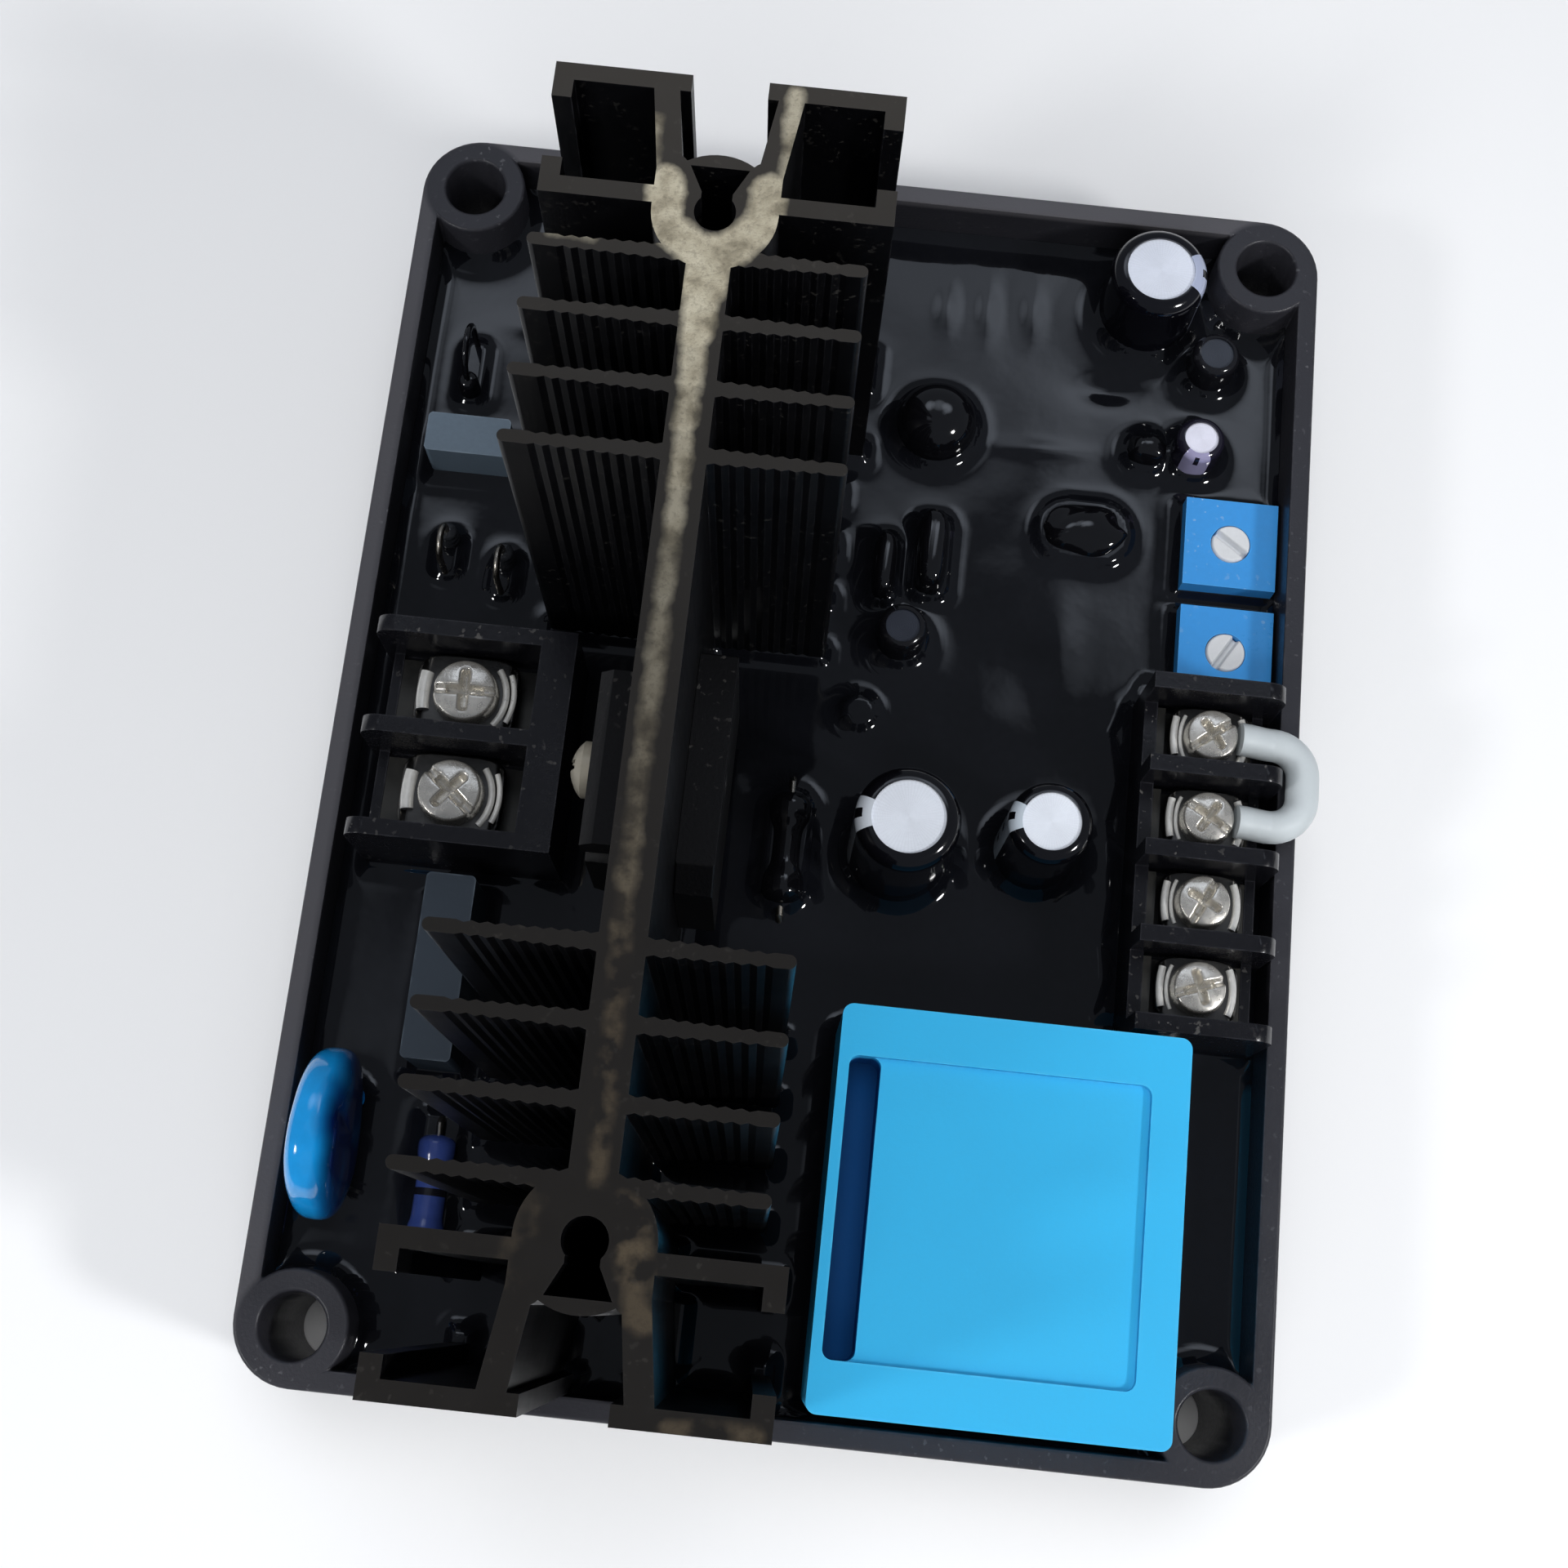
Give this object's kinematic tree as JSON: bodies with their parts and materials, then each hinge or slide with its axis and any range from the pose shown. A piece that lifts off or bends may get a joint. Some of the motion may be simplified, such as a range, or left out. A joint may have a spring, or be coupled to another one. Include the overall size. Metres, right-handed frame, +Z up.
{
  "type": "automatic voltage regulator",
  "caption": "Potted generator voltage regulator in a black tray, with a finned heatsink, a blue transformer, trimmers and screw terminal blocks.",
  "frame": {"origin": "centre of the four mounting holes, on the tray's bottom face", "axes": "+Z up through the tray, along the mounting holes; +Y along the tray's long side, towards the trimmer end; +X towards the four-way terminal block"},
  "size_m": [0.0964, 0.128, 0.061],
  "materials": {
    "tray_plastic": "moulded, satin",
    "potting": "poured, mirror gloss",
    "board": "laminate",
    "anodised_black": "black anodised extrusion",
    "epoxy_black": "moulded epoxy",
    "epoxy_gloss": "dipped epoxy",
    "zinc_screw": "zinc plated",
    "block_plastic": "moulded, glossy",
    "plated_screw": "nickel plated",
    "contact_brass": "tinned brass",
    "clamp_steel": "nickel plated",
    "tinned_wire": "tinned copper",
    "link_grey": "soft PVC",
    "trimmer_blue": "moulded",
    "rotor_white": "moulded",
    "transformer_blue": "moulded shell",
    "varistor_blue": "dipped epoxy",
    "slate_plastic": "moulded box",
    "box_grey": "moulded box",
    "resistor_blue": "lacquered",
    "resistor_grey": "lacquered",
    "can_aluminium": "drawn can",
    "sleeve_black": "shrunk sleeve",
    "sleeve_violet": "shrunk sleeve",
    "sleeve_grey": "shrunk sleeve"
  },
  "bodies": {
    "board_assembly": {"case": "tray_plastic", "potting_compound": "potting", "circuit_board": "board", "heatsink": "anodised_black", "power_transistor": "epoxy_black", "bridge_rectifier": "epoxy_black", "device_screw": "zinc_screw", "small_block_body": "block_plastic", "small_contact_1": "contact_brass", "small_contact_2": "contact_brass", "small_contact_3": "contact_brass", "small_contact_4": "contact_brass", "small_clamp_1": "clamp_steel", "small_clamp_2": "clamp_steel", "small_clamp_3": "clamp_steel", "small_clamp_4": "clamp_steel", "small_block_screws": "plated_screw", "large_block_body": "block_plastic", "large_contact_1": "contact_brass", "large_contact_2": "contact_brass", "large_clamp_1": "clamp_steel", "large_clamp_2": "clamp_steel", "large_block_screws": "plated_screw", "link_conductor": "tinned_wire", "link_insulation": "link_grey", "trimmer_body_1": "trimmer_blue", "trimmer_body_2": "trimmer_blue", "transformer": "transformer_blue", "tall_can": "can_aluminium", "tall_can_sleeve": "sleeve_black", "corner_can": "can_aluminium", "corner_can_sleeve": "sleeve_black", "medium_can": "can_aluminium", "medium_can_sleeve": "sleeve_black", "pale_can": "can_aluminium", "pale_can_sleeve": "sleeve_violet", "grey_can": "can_aluminium", "grey_can_sleeve": "sleeve_grey", "low_can": "can_aluminium", "low_can_sleeve": "sleeve_grey", "varistor": "varistor_blue", "film_capacitor": "slate_plastic", "box_capacitor": "box_grey", "power_resistor": "resistor_blue", "axial_diode": "epoxy_gloss", "drop_capacitor": "epoxy_gloss", "disc_capacitor": "epoxy_gloss", "plate_capacitor": "epoxy_gloss", "thin_capacitor": "epoxy_gloss", "small_transistor": "epoxy_black", "small_bead": "epoxy_gloss", "upright_diode": "epoxy_gloss", "upright_resistor_1": "resistor_grey", "upright_resistor_2": "resistor_grey"},
    "rotor_1": {"trimmer_rotor_1": "rotor_white"},
    "rotor_2": {"trimmer_rotor_2": "rotor_white"}
  },
  "joints": [
    {"name": "trimmer_1_turn", "type": "hinge", "parent": "board_assembly", "child": "rotor_1", "pos_m": [0.04034, 0.0283, 0.01371], "axis": [0, 0, 1], "range_deg": [-140, 140]},
    {"name": "trimmer_2_turn", "type": "hinge", "parent": "board_assembly", "child": "rotor_2", "pos_m": [0.04034, 0.01647, 0.01371], "axis": [0, 0, 1], "range_deg": [-140, 140]}
  ]
}
